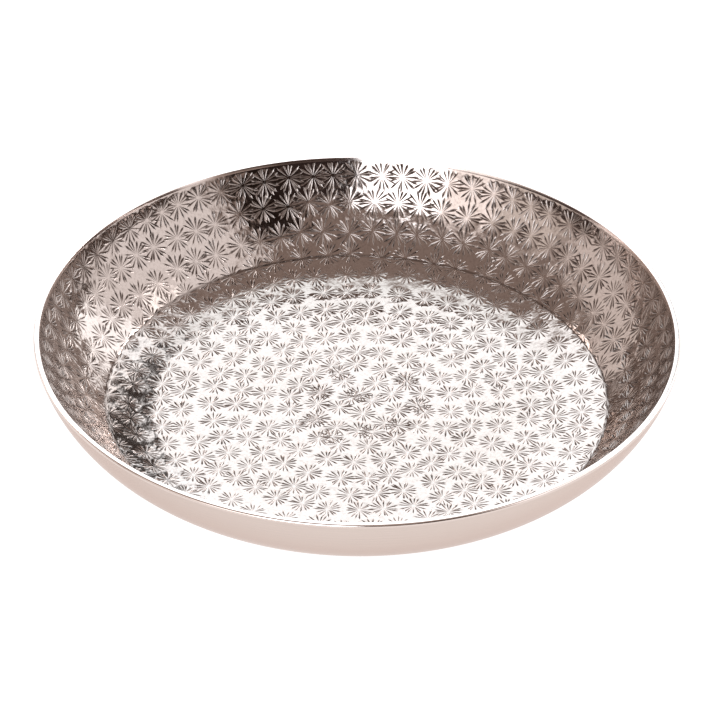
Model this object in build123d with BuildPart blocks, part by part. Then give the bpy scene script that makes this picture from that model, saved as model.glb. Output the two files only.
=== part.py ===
"""Offering plate: a double-walled round metal plate.

A smooth spun outer shell and a star-punched inner bowl are joined at the rim by a
brazed bead, which is ground and polished into the lip. The closed space between the
two skins is vented through a small collared hole in the base, closed by a press-in plug.

Millimetres, +Z up. The origin is the centre of the flat base, in the plane it rests on.
"""
import os
from math import asin, cos, hypot, sin, sqrt

from build123d import *

# Whole plate
RIM_RADIUS = 152.4            # a 12 inch plate
HEIGHT = 48.0                 # base plane to the top of the lip
SHEET = 0.6                   # thickness of both spun skins

# Lip: the bead that joins the two skins
LIP_WIDTH = 2.6               # across its top
BEAD_HEIGHT = 1.4
LIP_OUTER_ROUNDING = 0.9
LIP_INNER_ROUNDING = 0.35
TONGUE_DEPTH = 2.0            # braze drawn down between the skins
BRAZE_CLEARANCE = 0.05        # from the tongue to each skin

# Outer shell: a flat base, then one arc up to the bead
SHELL_ARC_RADIUS = 64.0

# Inner bowl, measured on its upper face: flat floor, shallow dish, crease, curved wall
FLOOR_TOP = 3.0
FLOOR_RADIUS = 96.8
FLOOR_BEND_RADIUS = 12.0
CREASE_RADIUS = 119.6
CREASE_TOP = 8.4
DISH_BOW = 0.5                # how far the dish bows down from a straight cone
WALL_BOW = 3.5                # how far the wall bows out from a straight cone

# Vent in the centre of the base
VENT_RADIUS = 3.0
VENT_COLLAR_HEIGHT = 1.5
PLUG_CLEARANCE = 0.02
PLUG_RECESS = 0.2             # keeps the plug clear of the table
PLUG_THICKNESS = 1.0
PLUG_CHAMFER = 0.25

# Where the skins end and the bead begins
SEAM = HEIGHT - BEAD_HEIGHT

# The shell's arc starts level at the edge of the flat base and ends at the seam
BASE_RADIUS = RIM_RADIUS - sqrt(SHELL_ARC_RADIUS**2 - (SHELL_ARC_RADIUS - SEAM) ** 2)
INNER_ARC_RADIUS = SHELL_ARC_RADIUS - SHEET


def shell_arc_point(radius, height):
    """Point at a height on a circle of the given radius about the shell's arc centre."""
    return (BASE_RADIUS + sqrt(radius**2 - (SHELL_ARC_RADIUS - height) ** 2), height)


def shell_arc_middle(radius):
    """Point halfway round the shell's arc, at the given radius from its centre."""
    half_turn = asin((RIM_RADIUS - BASE_RADIUS) / SHELL_ARC_RADIUS) / 2
    return (BASE_RADIUS + radius * sin(half_turn), SHELL_ARC_RADIUS - radius * cos(half_turn))


def bowed_middle(start, end, bow):
    """Middle of an arc from start to end that bows down and outwards by a distance."""
    run = end[0] - start[0]
    rise = end[1] - start[1]
    chord = hypot(run, rise)
    return (
        (start[0] + end[0]) / 2 + bow * rise / chord,
        (start[1] + end[1]) / 2 - bow * run / chord,
    )


# Outer shell: one spun skin, with a collar turned up round the vent
collar_radius = VENT_RADIUS + SHEET
with BuildPart() as outer_shell:
    with BuildSketch(Plane.XZ):
        with BuildLine():
            outside = ThreePointArc(
                (BASE_RADIUS, 0),
                shell_arc_middle(SHELL_ARC_RADIUS),
                shell_arc_point(SHELL_ARC_RADIUS, SEAM),
            )
            inside = ThreePointArc(
                shell_arc_point(INNER_ARC_RADIUS, SEAM),
                shell_arc_middle(INNER_ARC_RADIUS),
                (BASE_RADIUS, SHEET),
            )
            Line(outside @ 1, inside @ 0)
            Polyline(
                inside @ 1,
                (collar_radius, SHEET),
                (collar_radius, VENT_COLLAR_HEIGHT),
                (VENT_RADIUS, VENT_COLLAR_HEIGHT),
                (VENT_RADIUS, 0),
                outside @ 0,
            )
        make_face()
    revolve(axis=Axis.Z)
outer_shell.part.label = "outer_shell"

# Inner bowl: its upper face, thickened downwards, then trimmed level for the bead
floor_edge = (FLOOR_RADIUS, FLOOR_TOP)
crease = (CREASE_RADIUS, CREASE_TOP)
lip_inside = (RIM_RADIUS - LIP_WIDTH, HEIGHT)
with BuildPart() as inner_bowl:
    with BuildSketch(Plane.XZ):
        with BuildLine() as upper_face:
            Line((0, FLOOR_TOP), floor_edge)
            ThreePointArc(floor_edge, bowed_middle(floor_edge, crease, DISH_BOW), crease)
            ThreePointArc(crease, bowed_middle(crease, lip_inside, WALL_BOW), lip_inside)
            floor_bend = upper_face.vertices().sort_by_distance(floor_edge)[0]
            fillet(floor_bend, radius=FLOOR_BEND_RADIUS)
            offset(amount=SHEET, side=Side.RIGHT, closed=True)
        make_face()
        with Locations((RIM_RADIUS, SEAM)):
            Rectangle(RIM_RADIUS, HEIGHT, align=(Align.CENTER, Align.MIN), mode=Mode.SUBTRACT)
    revolve(axis=Axis.Z)
inner_bowl.part.label = "inner_bowl"

# Rim bead: sits on both skins' level edges, with a tongue of braze between them
bowl_edge = inner_bowl.part.faces().sort_by(Axis.Z)[-1]
bowl_edge_inner, bowl_edge_outer = sorted(corner.X for corner in bowl_edge.vertices())
tongue_inner = bowl_edge_outer + BRAZE_CLEARANCE
tongue_outer = shell_arc_point(INNER_ARC_RADIUS, SEAM)[0] - BRAZE_CLEARANCE
tongue_tip_outer = shell_arc_point(INNER_ARC_RADIUS, SEAM - TONGUE_DEPTH)[0] - BRAZE_CLEARANCE
with BuildPart() as rim_bead:
    with BuildSketch(Plane.XZ) as bead_section:
        with BuildLine():
            Polyline(
                (bowl_edge_inner, SEAM),
                (tongue_inner, SEAM),
                (tongue_inner, SEAM - TONGUE_DEPTH),
                (tongue_tip_outer, SEAM - TONGUE_DEPTH),
                (tongue_outer, SEAM),
                (RIM_RADIUS, SEAM),
                (RIM_RADIUS, HEIGHT),
                lip_inside,
                close=True,
            )
        make_face()
        outer_corner = bead_section.vertices().sort_by_distance((RIM_RADIUS, HEIGHT))[0]
        fillet(outer_corner, radius=LIP_OUTER_ROUNDING)
        inner_corner = bead_section.vertices().sort_by_distance(lip_inside)[0]
        fillet(inner_corner, radius=LIP_INNER_ROUNDING)
    revolve(axis=Axis.Z)
rim_bead.part.label = "rim_bead"

# Vent plug: a small chamfered disc pressed up into the collar
with BuildPart() as vent_plug:
    with BuildSketch(Plane.XY.offset(PLUG_RECESS)):
        Circle(VENT_RADIUS - PLUG_CLEARANCE)
    extrude(amount=PLUG_THICKNESS)
    chamfer(vent_plug.edges().group_by(Axis.Z)[0], length=PLUG_CHAMFER)
vent_plug.part.label = "vent_plug"

os.makedirs("parts", exist_ok=True)
for piece in (outer_shell, inner_bowl, rim_bead, vent_plug):
    export_step(piece.part, f"parts/{piece.part.label}.step")
    print(f"{piece.part.label}: {piece.part.volume:.0f} mm3")
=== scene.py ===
"""Looks of the offering plate: star-punched inner bowl, spun outer shell, lip and vent plug.

Everything is in metres in the row frame: origin at the centre of the base, +Z up. The
camera stands in front of the plate and looks along +Y and down. Each piece is made here
in mesh code around its CAD node.
"""

from math import atan2, cos, degrees, radians, sin, sqrt, tan, tau

import bpy
import numpy as np
from mathutils import Matrix, Vector
from mathutils.geometry import delaunay_2d_cdt
from mathutils.kdtree import KDTree


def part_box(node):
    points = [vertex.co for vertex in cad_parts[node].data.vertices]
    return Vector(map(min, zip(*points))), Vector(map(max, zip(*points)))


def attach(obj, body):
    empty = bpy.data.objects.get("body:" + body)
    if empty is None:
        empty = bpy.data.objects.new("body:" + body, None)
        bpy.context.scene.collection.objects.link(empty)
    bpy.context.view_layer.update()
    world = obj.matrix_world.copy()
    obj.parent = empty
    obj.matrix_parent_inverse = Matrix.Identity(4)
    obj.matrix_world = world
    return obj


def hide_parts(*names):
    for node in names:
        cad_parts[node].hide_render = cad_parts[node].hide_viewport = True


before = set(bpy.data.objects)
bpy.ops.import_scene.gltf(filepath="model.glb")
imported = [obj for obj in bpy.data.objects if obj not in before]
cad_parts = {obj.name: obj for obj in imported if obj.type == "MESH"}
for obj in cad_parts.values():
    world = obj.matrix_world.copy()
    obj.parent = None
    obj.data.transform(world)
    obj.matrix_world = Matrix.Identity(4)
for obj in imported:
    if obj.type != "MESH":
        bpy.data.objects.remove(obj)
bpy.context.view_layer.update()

MM = 0.001

# Sizes that the CAD model fixes
SHEET = 0.6 * MM
RIM_RADIUS = 152.4 * MM
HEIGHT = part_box("rim_bead")[1].z
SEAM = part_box("outer_shell")[1].z
LIP_WIDTH = 2.6 * MM
LIP_OUTER_ROUNDING = 0.9 * MM
LIP_INNER_ROUNDING = 0.35 * MM
SHELL_ARC_RADIUS = 64.0 * MM
FLOOR_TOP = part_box("inner_bowl")[0].z + SHEET
VENT_RADIUS = 3.0 * MM
VENT_COLLAR_HEIGHT = 1.5 * MM

# Segments round the turned surfaces
SEGMENTS = 360
LIP_SEGMENTS = 2 * SEGMENTS
PLUG_SEGMENTS = 72

NEAR_AXIS = 1e-9              # keeps a point on the axis from dividing by zero


# ---------------------------------------------------------------- inner bowl: its profile

class Profile:
    """A face of revolution: radius, height and slope against the distance walked outwards."""

    STEPS = 6000

    def __init__(self, start_height, knots):
        """knots are (distance, slope in degrees); the slope changes evenly between them."""
        self.walk = np.linspace(0, knots[-1][0], self.STEPS)
        self.slope = np.radians(np.interp(self.walk, *zip(*knots)))
        self.radius = self._summed(np.cos(self.slope))
        self.height = start_height + self._summed(np.sin(self.slope))

    def _summed(self, values):
        """Running integral along the walk."""
        middles = (values[1:] + values[:-1]) / 2
        return np.concatenate([[0.0], np.cumsum(middles * self.walk[1])])

    def at(self, walk):
        """Radius, height and slope at these distances."""
        return tuple(np.interp(walk, self.walk, v) for v in (self.radius, self.height, self.slope))

    def surface(self, plan, sunk, fall):
        """Points, each sunk below the face, and normals that lean with the fall of the dents."""
        walk = np.maximum(np.hypot(plan[:, 0], plan[:, 1]), NEAR_AXIS)
        radius, height, slope = self.at(walk)
        outwards = plan / walk[:, None]
        sideways = np.column_stack([-outwards[:, 1], outwards[:, 0]])
        normal = np.column_stack([-np.sin(slope)[:, None] * outwards, np.cos(slope)])
        uphill = np.column_stack([np.cos(slope)[:, None] * outwards, np.sin(slope)])
        around = np.column_stack([sideways, np.zeros(len(plan))])
        fall_out = (fall * outwards).sum(axis=1)
        fall_round = (fall * sideways).sum(axis=1) * walk / np.maximum(radius, NEAR_AXIS)
        lean = fall_out[:, None] * uphill + fall_round[:, None] * around
        point = np.column_stack([radius[:, None] * outwards, height])
        return point - sunk[:, None] * normal, normal + lean


# Flat floor, small bend, shallow dish, crease, and a wall that steepens up to the lip
FLAT = 76.0 * MM
BEND = 96.8 * MM
BEND_LENGTH = 1.8 * MM
CREASE = 120.25 * MM
CREASE_LENGTH = 1.4 * MM
WALL_TOP = 169.0 * MM
BOWL = Profile(
    FLOOR_TOP,
    [
        (0, 0),
        (FLAT, 0),
        (BEND - BEND_LENGTH / 2, 3.3),
        (BEND + BEND_LENGTH / 2, 7.8),
        (CREASE - CREASE_LENGTH / 2, 17.2),
        (CREASE + CREASE_LENGTH / 2, 36.7),
        (WALL_TOP, 67.8),
    ],
)


# ---------------------------------------------------------------- inner bowl: punched stars

SEED = 12
RAYS = 16                     # cuts that one blow of the star punch leaves
HUB_RADIUS = 0.5 * MM
STAR_RADIUS = 7.6 * MM
CUT_HALF_WIDTH = 0.44 * MM
CUT_DEPTH = 0.34 * MM
DENT_RADIUS = 8.5 * MM        # the shallow dent that each blow also leaves
DENT_DEPTH = 0.13 * MM
DEEPEST = 0.5 * MM            # no blow gets through the sheet
PATTERN_TOP = 168.3 * MM      # the plain band under the lip starts here

# Outline of one cut: share of its length, share of its half width
CUT_OUTLINE = [(0, 0), (0.38, -0.66), (0.78, -1), (1, 0), (0.78, 1), (0.38, 0.66)]
CUT_APEX = 0.7                # where it is deepest

# Rings of stars, as the unrolled distance from the centre, and the spacing along them
INNER_RINGS = 10
RING_PITCH = 12.5 * MM
WALL_ROWS = [133.2 * MM, 147.6 * MM, 161.8 * MM]
STAR_SPACING = 13.0 * MM
WALL_STAR_SPACING = 12.1 * MM
WALL_STAR_SIZE = 1.18         # of the stars on the wall, against those on the floor
ON_WALL = CREASE + 6 * MM     # blows farther out than this are the wall's
FEWEST_IN_RING = 4
CENTRE_EXTRA_STARS = 9
CENTRE_REACH = (4, 34)        # millimetres from the centre, where the extra stars fall

# How unevenly the rays of the punch were filed: shares of the even spacing and sizes
RAY_TURN = 0.24
RAY_INNER = (0.8, 1.5)
RAY_OUTER = (0.88, 1.0)
RAY_WIDTH = (0.82, 1.12)

# How unevenly the blows are placed
STEP_ALONG_RING = (0.8, 1.2)  # share of the even spacing
WANDER = 1.4 * MM             # of a ring's stars, in and out
TOP_WANDER = 0.5 * MM         # of the top ring's, which the lip keeps in line
WAVE_SHARE = 0.5              # of the wander, as a slow wave round the ring
SCATTER_SHARE = 0.5           # of the wander, as each blow's own
EXTRA_TURN = 0.3              # share of the even spacing, for the extra stars

# How unevenly the blows bite: a cut's weight is its blow's force, more or less by the lean
FORCE = (0.75, 1.05)
MOST_LEAN = 0.25              # how much harder a punch can bite on the side it leans to
BEARING_TURN = 0.12           # share of the angle between two rays
REACH = (0.9, 1.04)           # share of the ray's outer radius
LIGHT_REACH = 0.72            # share of its reach that a cut has whatever its weight
FORCED_REACH = 0.28           # share that it gains in proportion to its weight
MOST_WEIGHT = 1.1             # a cut heavier than this gets no longer
WIDTH = (0.8, 1.2)            # share of the ray's width

rng = np.random.default_rng(SEED)


def star_punch():
    """The rays of the punch: angle, inner radius, outer radius and width share of each."""
    rays = []
    for i in range(RAYS):
        angle = tau * (i + rng.uniform(-RAY_TURN, RAY_TURN)) / RAYS
        inner = HUB_RADIUS * rng.uniform(*RAY_INNER)
        outer = STAR_RADIUS * rng.uniform(*RAY_OUTER)
        rays.append((angle, inner, outer, rng.uniform(*RAY_WIDTH)))
    return rays


def star_centres():
    """Unrolled (walk, angle) of every blow, ring by ring, as uneven as hand work."""
    centres = []
    rings = [CREASE - RING_PITCH * i for i in range(INNER_RINGS)] + WALL_ROWS
    for walk in sorted(rings):
        radius = float(BOWL.at(walk)[0])
        spacing = WALL_STAR_SPACING if walk in WALL_ROWS else STAR_SPACING
        count = max(FEWEST_IN_RING, round(tau * radius / spacing))
        steps = rng.uniform(*STEP_ALONG_RING, count)
        angles = rng.uniform(0, tau) + tau * np.cumsum(steps) / steps.sum()
        drift = rng.uniform(0, tau)
        wander = WANDER if walk < WALL_ROWS[-1] else TOP_WANDER
        for angle in angles:
            wave = WAVE_SHARE * wander * sin(2 * angle + drift)
            centres.append((walk + wave + rng.normal(0, SCATTER_SHARE) * wander, angle))
    for i in range(CENTRE_EXTRA_STARS):
        walk = rng.uniform(*CENTRE_REACH) * MM
        angle = tau * (i + rng.uniform(-EXTRA_TURN, EXTRA_TURN)) / CENTRE_EXTRA_STARS
        centres.append((walk, angle))
    return centres


class Blow:
    """One blow of the punch: the cuts it leaves, in the unrolled plan, and a shallow dent."""

    def __init__(self, punch, walk, angle):
        self.stretch = walk / float(BOWL.at(walk)[0])
        self.outwards = np.array([cos(angle), sin(angle)])
        self.sideways = np.array([-sin(angle), cos(angle)])
        self.centre = walk * self.outwards
        self.force = rng.uniform(*FORCE)
        size = WALL_STAR_SIZE if walk > ON_WALL else 1.0
        turn = rng.uniform(0, tau)
        lean_angle = rng.uniform(0, tau)
        lean = rng.uniform(0, MOST_LEAN)
        outlines, apexes, depths = [], [], []
        for ray_angle, inner, outer, width in punch:
            bearing = ray_angle + turn + tau * rng.uniform(-BEARING_TURN, BEARING_TURN) / RAYS
            weight = self.force * (1 + lean * cos(bearing - lean_angle))
            reach = size * outer * rng.uniform(*REACH)
            length = reach * (LIGHT_REACH + FORCED_REACH * min(weight, MOST_WEIGHT)) - inner
            half_width = size**2 * CUT_HALF_WIDTH * width * rng.uniform(*WIDTH) * sqrt(weight)
            outlines.append([
                self.placed(bearing, inner + share * length, side * half_width)
                for share, side in CUT_OUTLINE
            ])
            apexes.append(self.placed(bearing, inner + CUT_APEX * length, 0))
            depths.append(CUT_DEPTH * weight)
        self.outlines = self.kept_below_lip(outlines)
        self.apexes = self.kept_below_lip(apexes)
        self.depths = np.array(depths)

    def placed(self, bearing, along, across):
        """Plan point at a distance along one ray and across it."""
        out = along * cos(bearing) - across * sin(bearing)
        side = along * sin(bearing) + across * cos(bearing)
        return self.centre + out * self.outwards + side * self.stretch * self.sideways

    @staticmethod
    def kept_below_lip(points):
        """The plan points, with those in the plain band under the lip drawn in to its edge."""
        points = np.array(points)
        reach = np.linalg.norm(points, axis=-1, keepdims=True)
        return points * np.minimum(1, PATTERN_TOP / reach)

    def cut_depth(self, points):
        """Depth of the cuts at plan points: each is an upturned pyramid over its outline."""
        sides = np.roll(self.outlines, -1, axis=1) - self.outlines
        inside = cross(sides, points[:, None, None] - self.outlines)
        apex_inside = cross(sides, self.apexes[:, None] - self.outlines)
        share = (inside / apex_inside).min(axis=2)
        return (np.maximum(share, 0) * self.depths).max(axis=1)

    def dent(self, points):
        """Depth of the dent at plan points, and how steeply it falls in the plan."""
        offset = points - self.centre
        out = offset @ self.outwards
        side = offset @ self.sideways / self.stretch
        room = np.maximum(0, 1 - (out**2 + side**2) / DENT_RADIUS**2)
        depth = DENT_DEPTH * self.force * room**2
        steepness = -4 * DENT_DEPTH * self.force * room / DENT_RADIUS**2
        fall = out[:, None] * self.outwards + (side / self.stretch)[:, None] * self.sideways
        return depth, steepness[:, None] * fall


def cross(a, b):
    """Cross product of plan vectors."""
    return a[..., 0] * b[..., 1] - a[..., 1] * b[..., 0]


def ring_points(walk, count, shift=0.0):
    """Evenly spaced plan points round the centre, turned by a share of their spacing."""
    angles = tau * (np.arange(count) + shift) / count
    return walk * np.column_stack([np.cos(angles), np.sin(angles)])


LOOSE_RINGS_START = CREASE + 4 * MM
LOOSE_RINGS_PITCH = 4.5 * MM
SAME_POINT = 1e-6             # plan points closer than this (a micron) become one


def punched_plan(blows):
    """Triangulated plan of the bowl, with each cut's outline and the lines to its apex as edges.

    Also returned: the places of the outermost ring's points.
    """
    points, edges = [], []

    def add_ring(walk, count):
        first = len(points)
        points.extend(ring_points(walk, count))
        edges.extend((first + i, first + (i + 1) % count) for i in range(count))
        return range(first, first + count)

    rim = add_ring(WALL_TOP, SEGMENTS)
    for middle, length in ((BEND, BEND_LENGTH), (CREASE, CREASE_LENGTH)):
        add_ring(middle - length / 2, SEGMENTS // 2)
        add_ring(middle + length / 2, SEGMENTS // 2)
    # Loose points so that no triangle spans much of the curved wall
    for i, walk in enumerate(np.arange(LOOSE_RINGS_START, WALL_TOP, LOOSE_RINGS_PITCH)):
        points.extend(ring_points(walk, SEGMENTS // 2, 0.5 * (i % 2)))
    for blow in blows:
        for outline, apex in zip(blow.outlines, blow.apexes):
            first = len(points)
            count = len(outline)
            points.extend(outline)
            points.append(apex)
            edges.extend((first + i, first + (i + 1) % count) for i in range(count))
            edges.extend((first + i, first + count) for i in range(count))
    vectors = [Vector(p) for p in points]
    plan, _, faces, sources, _, _ = delaunay_2d_cdt(vectors, edges, [], 0, SAME_POINT)
    place = {source: i for i, found in enumerate(sources) for source in found}
    return np.array([tuple(p) for p in plan]), np.array(faces), [place[i] for i in rim]


def relief(plan, blows):
    """Depths of cuts and of dents at each plan point, and the fall of the dents there."""
    tree = KDTree(len(plan))
    for i, (x, y) in enumerate(plan):
        tree.insert((x, y, 0), i)
    tree.balance()
    cuts = np.zeros(len(plan))
    dents = np.zeros(len(plan))
    fall = np.zeros((len(plan), 2))
    for blow in blows:
        near = [i for _, i, _ in tree.find_range((*blow.centre, 0), DENT_RADIUS * blow.stretch)]
        cuts[near] = np.maximum(cuts[near], blow.cut_depth(plan[near]))
        dent, dent_fall = blow.dent(plan[near])
        dents[near] += dent
        fall[near] += dent_fall
    return cuts, dents, fall


def ring_faces(lower, upper):
    """Quads between two rings of the same count, facing outwards where upper is above lower."""
    count = len(lower)
    for i in range(count):
        j = (i + 1) % count
        yield (lower[i], lower[j], upper[j], upper[i])


def underside_rings():
    """(radius, height) of the plain underside's rings, from the level edge to the centre."""
    wall = np.linspace(WALL_TOP, CREASE + CREASE_LENGTH / 2, 9)
    dish = np.linspace(CREASE - CREASE_LENGTH / 2, BEND + BEND_LENGTH / 2, 5)
    floor = np.linspace(BEND - BEND_LENGTH / 2, FLAT, 4)
    rings = [(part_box("inner_bowl")[1].x, SEAM)]
    for walk in (*wall, *dish, *floor, FLAT / 2, FLAT / 8):
        radius, height, slope = (float(v) for v in BOWL.at(walk))
        rings.append((radius + SHEET * sin(slope), height - SHEET * cos(slope)))
    return rings


def punched_bowl():
    """The inner bowl as one closed sheet, with its cuts, its level edge and its plain underside."""
    punch = star_punch()
    blows = [Blow(punch, walk, angle) for walk, angle in star_centres()]
    plan, faces, rim = punched_plan(blows)
    cuts, dents, fall = relief(plan, blows)
    points, normals = BOWL.surface(plan, np.minimum(cuts + dents, DEEPEST), fall)
    points, faces = points.tolist(), faces.tolist()
    top_faces = len(faces)

    # The underside keeps the bearings of the rim's points, so that the two sides join
    angles = np.arctan2(plan[rim, 1], plan[rim, 0])
    circle = np.column_stack([np.cos(angles), np.sin(angles)])
    above = rim
    for radius, height in underside_rings():
        first = len(points)
        points.extend((radius * x, radius * y, height) for x, y in circle)
        below = list(range(first, first + SEGMENTS))
        faces.extend(ring_faces(below, above))
        above = below
    points.append((0, 0, FLOOR_TOP - SHEET))
    faces.extend((above[(i + 1) % SEGMENTS], above[i], len(points) - 1) for i in range(SEGMENTS))

    mesh = bpy.data.meshes.new("punched_bowl")
    mesh.from_pydata(points, [], faces)
    mesh.update()
    depth_share = mesh.attributes.new("cut", "FLOAT", "POINT")
    shares = np.zeros(len(points))
    shares[: len(cuts)] = cuts / CUT_DEPTH
    depth_share.data.foreach_set("value", shares)
    shade_punched(mesh, normals, cuts, top_faces)
    return piece_from(mesh, "punched_bowl")


FACET_SHARE = 0.8             # how flat a cut's faces look at its outline
SHOULDER_SHARE = 0.22         # how rounded the land looks where it meets a cut
NO_CUT = 1e-7                 # depths up to this (a tenth of a micron) count as none


def shade_punched(mesh, normals, cuts, top_faces):
    """Corner normals: the smooth face between cuts, flat facets inside them."""
    mesh.shade_smooth()
    count = len(mesh.loops)
    vertex = np.zeros(count, dtype=int)
    mesh.loops.foreach_get("vertex_index", vertex)
    corner = np.zeros(count * 3)
    mesh.corner_normals.foreach_get("vector", corner)
    corner = corner.reshape(-1, 3)
    facet = np.zeros(len(mesh.polygons) * 3)
    mesh.polygons.foreach_get("normal", facet)
    facet = facet.reshape(-1, 3)

    # The top face is triangles only, so its corners come first, three to a face
    top = vertex[: top_faces * 3]
    top_facet = np.repeat(facet[:top_faces], 3, axis=0)
    in_cut = (cuts[top].reshape(-1, 3).max(axis=1) > NO_CUT).repeat(3)
    at_outline = cuts[top] <= NO_CUT
    share = np.where(at_outline, FACET_SHARE, 1.0)[:, None]
    blend = share * top_facet + (1 - share) * normals[top]
    land = SHOULDER_SHARE * corner[: top_faces * 3] + (1 - SHOULDER_SHARE) * normals[top]
    corner[: top_faces * 3] = np.where(in_cut[:, None], blend, land)
    corner /= np.linalg.norm(corner, axis=1, keepdims=True)
    mesh.normals_split_custom_set(corner.tolist())


def piece_from(mesh, name):
    """A new object in the scene with this mesh."""
    piece = bpy.data.objects.new(name, mesh)
    bpy.context.scene.collection.objects.link(piece)
    return piece


# ---------------------------------------------------------------- turned pieces

def arc(centre, radius, start, end, steps):
    """Points on an arc, by angle in degrees from +X towards +Z."""
    angles = np.radians(np.linspace(start, end, steps + 1))
    return [(centre[0] + radius * cos(a), centre[1] + radius * sin(a)) for a in angles]


CRISP = radians(40)           # turned surfaces keep a hard edge where they bend more


def turned(name, section, segments=SEGMENTS):
    """A closed section, walked anticlockwise in (radius, height), turned about Z."""
    circle = [(cos(tau * i / segments), sin(tau * i / segments)) for i in range(segments)]
    points, faces = [], []
    rings = []
    for radius, height in section:
        if radius == 0:
            rings.append([len(points)] * segments)
            points.append((0, 0, height))
            continue
        rings.append(list(range(len(points), len(points) + segments)))
        points.extend((radius * x, radius * y, height) for x, y in circle)
    for lower, upper in zip(rings, rings[1:] + rings[:1]):
        for face in ring_faces(lower, upper):
            corners = tuple(dict.fromkeys(face))
            if len(corners) > 2:
                faces.append(corners)
    mesh = bpy.data.meshes.new(name)
    mesh.from_pydata(points, [], faces)
    mesh.update()
    mesh.shade_smooth()
    mesh.set_sharp_from_angle(angle=CRISP)
    return piece_from(mesh, name)


# The shell's arc starts level at the edge of the base and turns by this much up to the seam
SHELL_TURN = np.degrees(np.arccos((SHELL_ARC_RADIUS - SEAM) / SHELL_ARC_RADIUS))
BASE_RADIUS = RIM_RADIUS - SHELL_ARC_RADIUS * sin(radians(SHELL_TURN))
BASE_RINGS = (4.5 * MM, 10 * MM, 30 * MM, 60 * MM)
COLLAR_FILLET = 0.4 * MM      # where the vent's collar turns up from the base
COLLAR_FOOT = 1.0 * MM        # from the collar to the first plain ring inside


def spun_shell():
    """The smooth outer skin: flat base, one arc to the seam, collared vent."""
    centre = (BASE_RADIUS, SHELL_ARC_RADIUS)
    inner_radius = SHELL_ARC_RADIUS - SHEET
    inner_turn = np.degrees(np.arccos((SHELL_ARC_RADIUS - SEAM) / inner_radius))
    collar = VENT_RADIUS + SHEET
    fillet_centre = (collar + COLLAR_FILLET, SHEET + COLLAR_FILLET)
    section = [
        (VENT_RADIUS, 0),
        *[(radius, 0) for radius in BASE_RINGS],
        *arc(centre, SHELL_ARC_RADIUS, -90, SHELL_TURN - 90, steps=72),
        *arc(centre, inner_radius, inner_turn - 90, -90, steps=36),
        (collar + COLLAR_FOOT, SHEET),
        *arc(fillet_centre, COLLAR_FILLET, 270, 180, steps=4),
        (collar, VENT_COLLAR_HEIGHT),
        (VENT_RADIUS, VENT_COLLAR_HEIGHT),
    ]
    return turned("spun_shell", section)


BRAZE_CLEARANCE = 0.05 * MM   # from the tongue of braze to the bowl's edge
TONGUE_INSET = 0.1 * MM       # of the tongue's top, inside the shell's thickness at the rim
TONGUE_TAPER = 0.62 * MM      # how much narrower its tip is, where the shell curves in


def polished_lip():
    """The brazed bead that joins the skins, rounded over and polished."""
    inner = RIM_RADIUS - LIP_WIDTH
    wall_top = float(BOWL.radius[-1])
    side_turn = atan2(HEIGHT - SEAM, inner - wall_top)
    outer_centre = (RIM_RADIUS - LIP_OUTER_ROUNDING, HEIGHT - LIP_OUTER_ROUNDING)
    inner_centre = (inner + LIP_INNER_ROUNDING * tan(side_turn / 2), HEIGHT - LIP_INNER_ROUNDING)
    tongue_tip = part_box("rim_bead")[0].z
    tongue_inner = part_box("inner_bowl")[1].x + BRAZE_CLEARANCE
    tongue_outer = RIM_RADIUS - SHEET - TONGUE_INSET
    section = [
        (tongue_inner, tongue_tip),
        (tongue_outer - TONGUE_TAPER, tongue_tip),
        (tongue_outer, SEAM),
        (RIM_RADIUS, SEAM),
        *arc(outer_centre, LIP_OUTER_ROUNDING, 0, 90, steps=12),
        *arc(inner_centre, LIP_INNER_ROUNDING, 90, 90 + degrees(side_turn), steps=8),
        (wall_top, SEAM),
        (tongue_inner, SEAM),
    ]
    return turned("polished_lip", section, LIP_SEGMENTS)


PLUG_ROUNDING = 0.25 * MM
PLUG_LAND = 0.1 * MM          # plain width beside the rounding, so that it looks tight
DIMPLE = [                    # (radius, depth) of the centre mark in the plug's face
    (0, 0.12 * MM),
    (0.35 * MM, 0.02 * MM),
    (0.6 * MM, 0),
]


def domed_plug():
    """The vent plug: a small button with a rounded edge and a turned centre mark."""
    low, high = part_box("vent_plug")
    radius = high.x
    bottom, top = low.z, high.z
    edge_centre = (radius - PLUG_ROUNDING, bottom + PLUG_ROUNDING)
    section = [
        *[(out, bottom + depth) for out, depth in DIMPLE],
        (radius - PLUG_ROUNDING - PLUG_LAND, bottom),
        *arc(edge_centre, PLUG_ROUNDING, 270, 360, steps=5),
        (radius, top),
        (0, top),
    ]
    return turned("domed_plug", section, PLUG_SEGMENTS)


# ---------------------------------------------------------------- materials

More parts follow.
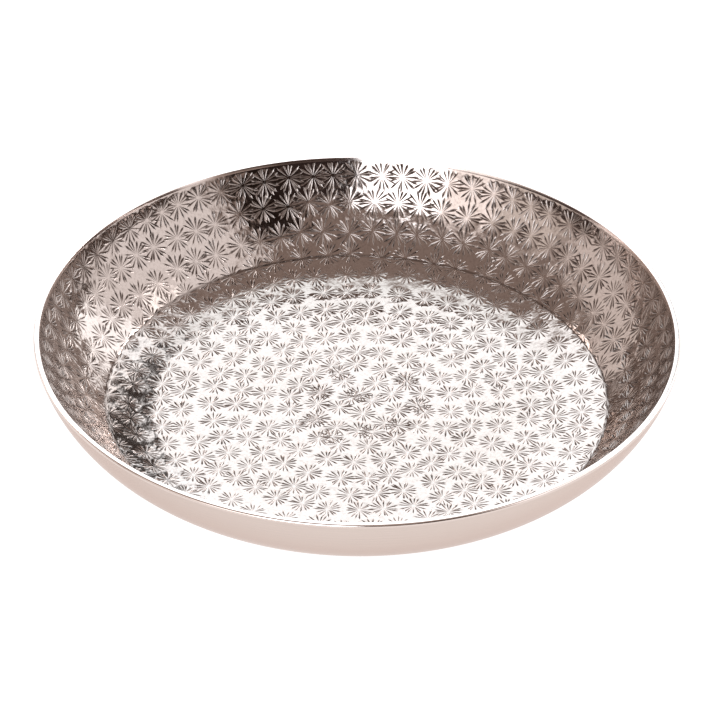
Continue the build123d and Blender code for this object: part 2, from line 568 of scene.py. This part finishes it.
class Nodes:
    """A node tree, with short calls for the nodes used below."""

    def __init__(self, owner):
        owner.use_nodes = True
        self.tree = owner.node_tree

    def node(self, kind, inputs=(), **settings):
        """A new node with these settings and with its inputs set or linked."""
        made = self.tree.nodes.new(kind)
        for key, value in settings.items():
            setattr(made, key, value)
        for key, value in dict(inputs).items():
            self.put(value, made.inputs[key])
        return made

    def put(self, value, socket):
        """Links a socket in, or sets a plain value."""
        if isinstance(value, bpy.types.NodeSocket):
            self.tree.links.new(value, socket)
        else:
            socket.default_value = value

    def coordinates(self):
        """Each point's place on its own piece, in metres."""
        return self.node("ShaderNodeTexCoord").outputs["Object"]

    def noise(self, scale, detail, vector=None):
        """Noise of about 0 to 1, with this many waves to the metre and layers of detail."""
        inputs = {"Scale": scale, "Detail": detail, "Vector": vector or self.coordinates()}
        return self.node("ShaderNodeTexNoise", inputs).outputs["Fac"]

    def math(self, operation, a, b=0.0):
        return self.node("ShaderNodeMath", {0: a, 1: b}, operation=operation).outputs[0]

    def mapped(self, value, from_low, from_high, to_low, to_high):
        """The value moved evenly from one range to another, and held inside it."""
        inputs = {"Value": value, 1: from_low, 2: from_high, 3: to_low, 4: to_high}
        return self.node("ShaderNodeMapRange", inputs).outputs[0]

    def mix(self, share, a, b):
        mixer = self.node("ShaderNodeMix", data_type="RGBA")
        self.put(share, mixer.inputs[0])
        self.put(a, mixer.inputs[6])
        self.put(b, mixer.inputs[7])
        return mixer.outputs[2]

    def bump(self, height, distance, normal=None):
        """Normals of a relief whose height of 1 is this distance, laid over other normals."""
        inputs = {"Height": height, "Distance": distance}
        if normal:
            inputs["Normal"] = normal
        return self.node("ShaderNodeBump", inputs).outputs["Normal"]

    def turning(self):
        """(distance from the axis, height, 0) of each point, for marks that run round."""
        x, y, z = self.node("ShaderNodeSeparateXYZ", {0: self.coordinates()}).outputs
        x_squared = self.math("MULTIPLY", x, x)
        y_squared = self.math("MULTIPLY", y, y)
        radius = self.math("SQRT", self.math("ADD", x_squared, y_squared))
        return self.node("ShaderNodeCombineXYZ", {0: radius, 1: z}).outputs[0]


class Material(Nodes):
    """A new material and its Principled shader."""

    def __init__(self, name):
        self.material = bpy.data.materials.new(name)
        super().__init__(self.material)
        self.shader = self.tree.nodes["Principled BSDF"]

    def set(self, **sockets):
        """Sets or links the shader's inputs, named with underscores for spaces."""
        for name, value in sockets.items():
            self.put(value, self.shader.inputs[name.replace("_", " ")])


# Metal colours. The bowl's are darker, so that its second reflections are as dark as they
# are in the photograph. The tints for the cuts and their valleys are painted shade in the
# bowl's cuts; the cut tint also paints shade along the crease and darkens the haze and the spinning
# marks
NICKEL = (0.69, 0.595, 0.55, 1)
NICKEL_WARM = (0.66, 0.56, 0.51, 1)
BOWL_NICKEL = (0.42, 0.354, 0.323, 1)
BOWL_NICKEL_WARM = (0.385, 0.314, 0.278, 1)
EDGE_TINT = (0.80, 0.72, 0.69, 1)
SHADE_AND_MARK_TINT = (0.158, 0.122, 0.106, 1)
VALLEY_SHADE_TINT = (0.066, 0.0495, 0.042, 1)

# How far each of these takes the bowl's colour towards a tint: painted shade, except for the haze
FLANK_SHADE_SHARE = 0.45            # painted shade on the sides of a cut
HAZE_SHARE = 0.3              # scratches too fine to model, between the cuts
CREASE_SHADE_SHARE = 0.85          # painted shade along the crease
VALLEY_SHADE_SHARE = 0.92           # painted shade at the bottom of a cut

CUT_EDGE = 0.05               # share of the full depth at which a cut looks like one
VALLEY_SHADE_DEPTHS = (0.3, 0.8)    # shares of the full depth between which the painted shade darkens
CREASE_SHADE_REACH = (0.3 * MM, 0.9 * MM)   # from the crease: where the painted shade starts to fade and is gone
LAND_ROUGHNESS = 0.08
CUT_ROUGHNESS = 0.32


def punched_nickel():
    """Mirror nickel: hazed between its cuts, with painted shade on the sides and in the valleys of
    its cuts and along the crease.
    """
    n = Material("punched_nickel")
    cut = n.node("ShaderNodeAttribute", attribute_name="cut").outputs["Fac"]
    # Painted shade: darker on the sides and at the bottom of each cut and in a band along the
    # crease; the haze is fine scratches
    flank_shade = n.mapped(cut, 0.0, CUT_EDGE, 0.0, FLANK_SHADE_SHARE)
    valley_shade = n.mapped(cut, *VALLEY_SHADE_DEPTHS, 0.0, VALLEY_SHADE_SHARE)
    haze = n.mapped(n.noise(800, 3), 0.45, 0.7, 0.0, HAZE_SHARE)
    # Painted shade in a narrow band along the crease
    from_axis = n.node("ShaderNodeSeparateXYZ", {0: n.turning()}).outputs[0]
    from_crease = n.math("ABSOLUTE", n.math("SUBTRACT", from_axis, float(BOWL.at(CREASE)[0])))
    crease_shade = n.mapped(from_crease, *CREASE_SHADE_REACH, CREASE_SHADE_SHARE, 0.0)
    shade_and_haze = n.math("MAXIMUM", n.math("MAXIMUM", flank_shade, haze), crease_shade)
    tone = n.mix(n.noise(22, 3), BOWL_NICKEL, BOWL_NICKEL_WARM)
    grain = n.mapped(n.noise(300, 3), 0.4, 0.7, 0.0, 0.05)
    roughness = n.mapped(cut, 0.0, CUT_EDGE, LAND_ROUGHNESS, CUT_ROUGHNESS)
    waves = n.bump(n.noise(75, 1), 0.2 * MM)
    n.set(
        # The base colour carries the painted shade of the cuts and of the crease, laid over the
        # haze and the random tone
        Base_Color=n.mix(valley_shade, n.mix(shade_and_haze, tone, SHADE_AND_MARK_TINT), VALLEY_SHADE_TINT),
        Metallic=1.0,
        Roughness=n.math("ADD", roughness, grain),
        Normal=n.bump(n.noise(260, 2), 0.12 * MM, waves),
    )
    return n.material


def satin_nickel():
    """Spun nickel: fine marks round the axis, softly polished."""
    n = Material("satin_nickel")
    turning = n.turning()
    marks = n.noise(2600, 2, turning)
    tone = n.mix(n.noise(9, 2), NICKEL, NICKEL_WARM)
    n.set(
        Base_Color=n.mix(n.mapped(marks, 0.3, 0.7, 0.0, 0.12), tone, SHADE_AND_MARK_TINT),
        Metallic=1.0,
        Roughness=n.mapped(n.noise(14, 3), 0.3, 0.7, 0.2, 0.27),
        Specular_Tint=EDGE_TINT,
        Normal=n.bump(marks, 0.004 * MM),
    )
    return n.material


def polished_nickel():
    """Bright lip and plug, with faint polishing lines round them."""
    n = Material("polished_nickel")
    lines = n.noise(5200, 1, n.turning())
    n.set(
        Base_Color=n.mix(n.noise(30, 2), NICKEL, NICKEL_WARM),
        Metallic=1.0,
        Roughness=n.mapped(lines, 0.3, 0.7, 0.08, 0.14),
        Normal=n.bump(n.noise(120, 2), 0.05 * MM),
    )
    return n.material


polished = polished_nickel()
PIECES = [
    (punched_bowl, "inner_bowl", "punched_nickel", punched_nickel()),
    (spun_shell, "outer_shell", "satin_nickel", satin_nickel()),
    (polished_lip, "rim_bead", "polished_nickel", polished),
    (domed_plug, "vent_plug", "polished_nickel", polished),
]
for build, node, slot, material in PIECES:
    piece = build()
    piece.data.materials.append(material)
    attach(piece, "root")
    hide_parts(node)


# ---------------------------------------------------------------- studio

TABLE_HALF = 40.0             # metres, so that a low view from the side doesn't see past it
TABLE_DROP = 0.05 * MM        # keeps the table clear of the base


def pale_floor():
    """A lit white table under the plate."""
    mesh = bpy.data.meshes.new("table")
    signs = [(-1, -1), (1, -1), (1, 1), (-1, 1)]
    corners = [(x * TABLE_HALF, y * TABLE_HALF, 0) for x, y in signs]
    mesh.from_pydata(corners, [], [(0, 1, 2, 3)])
    table = piece_from(mesh, "table")
    table.location.z = -TABLE_DROP
    n = Material("table_white")
    n.set(
        Base_Color=(0.22, 0.22, 0.22, 1),
        Roughness=1.0,
        Specular_IOR_Level=0.0,
        Emission_Color=(1, 0.99, 0.985, 1),
        Emission_Strength=0.92,
    )
    mesh.materials.append(n.material)


# The room's colour wherever no panel is
SURROUNDINGS = (0.46, 0.375, 0.34)

# Soft panels and dark flags round the plate, each laid over those before it: centre bearing
# from the back towards +X, half angle of bearing, lowest and highest elevation, softness,
# colour. All angles are in degrees.
PANELS = [
    ("back sweep", 0, 60, -8, 12, 8, (1.7, 1.76, 1.82)),
    ("ceiling light", 0, 200, 86, 100, 8, (1.45, 1.45, 1.45)),
    ("left wall", -60, 36, 5, 29, 10, (1.38, 1.31, 1.29)),
    ("left pane", -48, 7, 31, 42, 6, (6.5, 6.2, 6.1)),
    ("left doorway", -32, 8, 12, 34, 5, (0.3, 0.25, 0.23)),
    ("right wall", 78, 48, 5, 60, 10, (1.7, 1.72, 1.77)),
    ("back window", -2, 27, 10, 47, 8, (2.75, 3.1, 3.35)),
    ("upper pane", 0, 10, 40, 54, 8, (2.35, 2.7, 2.9)),
    ("right window", 39, 22, 0, 38, 7, (2.75, 2.95, 3.1)),
    ("right pane", 72, 7, 37, 44, 5, (3.3, 3.4, 3.5)),
    ("right lamp", 45, 7, 32, 44, 5, (16, 16.8, 17.6)),
    ("right doorway", 35, 7, 14, 32, 5, (0.45, 0.38, 0.35)),
    ("back flag", 12.5, 5, 17, 42, 5, (0.09, 0.077, 0.072)),
    ("left front wall", -118, 17, 8, 36, 12, (1.4, 1.34, 1.3)),
    ("left front light", -140, 12, 8, 44, 12, (2.6, 2.6, 2.65)),
    ("front window", -165, 17, 9, 44, 6, (5.2, 5.7, 6.2)),
    ("right flag", 144, 12, 8, 52, 6, (0.03, 0.02, 0.016)),
    ("front flag", 166, 15, 5, 34, 9, (0.055, 0.038, 0.034)),
    ("left skirting", -125, 36, -5, 7, 4, (0.07, 0.05, 0.045)),
    ("right skirting", 98, 18, -5, 7, 4, (0.09, 0.06, 0.05)),
]


class World(Nodes):
    """The scene's new surroundings."""

    def __init__(self, name):
        world = bpy.data.worlds.new(name)
        bpy.context.scene.world = world
        super().__init__(world)
        self.background = self.tree.nodes["Background"]

    def soft_step(self, value, edge, softness):
        """0 below the edge, 1 above it, with a smooth change between."""
        return self.node(
            "ShaderNodeMapRange",
            {"Value": value, 1: edge - softness / 2, 2: edge + softness / 2},
            interpolation_type="SMOOTHSTEP",
        ).outputs[0]


def studio_world():
    """The surroundings, coloured by the direction looked in: a brown room with the panels."""
    w = World("studio")
    direction = w.node("ShaderNodeTexCoord").outputs["Generated"]
    height = w.node("ShaderNodeSeparateXYZ", {0: direction}).outputs[2]
    elevation = w.math("DEGREES", w.math("ARCSINE", height))
    colour = (*SURROUNDINGS, 1)
    for _, bearing, half, lowest, highest, softness, tint in PANELS:
        turn = {"Vector": direction, "Angle": radians(bearing)}
        facing = w.node("ShaderNodeVectorRotate", turn, rotation_type="Z_AXIS").outputs[0]
        x, y, _ = w.node("ShaderNodeSeparateXYZ", {0: facing}).outputs
        aside = w.math("ABSOLUTE", w.math("DEGREES", w.math("ARCTAN2", x, y)))
        share = w.math("SUBTRACT", 1.0, w.soft_step(aside, half, softness))
        share = w.math("MULTIPLY", share, w.soft_step(elevation, lowest, softness))
        above = w.math("SUBTRACT", 1.0, w.soft_step(elevation, highest, softness))
        colour = w.mix(w.math("MULTIPLY", share, above), colour, (*tint, 1))
    w.put(colour, w.background.inputs["Color"])


# ---------------------------------------------------------------- camera

CAMERA_DISTANCE = 12 * RIM_RADIUS
CAMERA_ELEVATION = radians(34.85)
CAMERA_ROLL = radians(0.67)
LENS = 193.9                  # millimetres on a 36 mm frame
CLIP_END = 200                # metres, past the table's far corners
AIM = Vector((1.45 * MM, 0, 29.4 * MM))


def studio_camera():
    """A long lens, about 35 degrees above the table, in front of the plate."""
    camera = bpy.data.objects.new("camera", bpy.data.cameras.new("camera"))
    bpy.context.scene.collection.objects.link(camera)
    camera.data.lens = LENS
    camera.data.clip_end = CLIP_END
    towards = Vector((0, -cos(CAMERA_ELEVATION), sin(CAMERA_ELEVATION)))
    camera.location = Vector((0, 0, HEIGHT)) + CAMERA_DISTANCE * towards
    level = (AIM - camera.location).to_track_quat("-Z", "Y").to_matrix()
    camera.rotation_euler = (level @ Matrix.Rotation(CAMERA_ROLL, 3, "Z")).to_euler()
    bpy.context.scene.camera = camera


pale_floor()
studio_world()
studio_camera()
bpy.context.scene.view_settings.view_transform = "Standard"
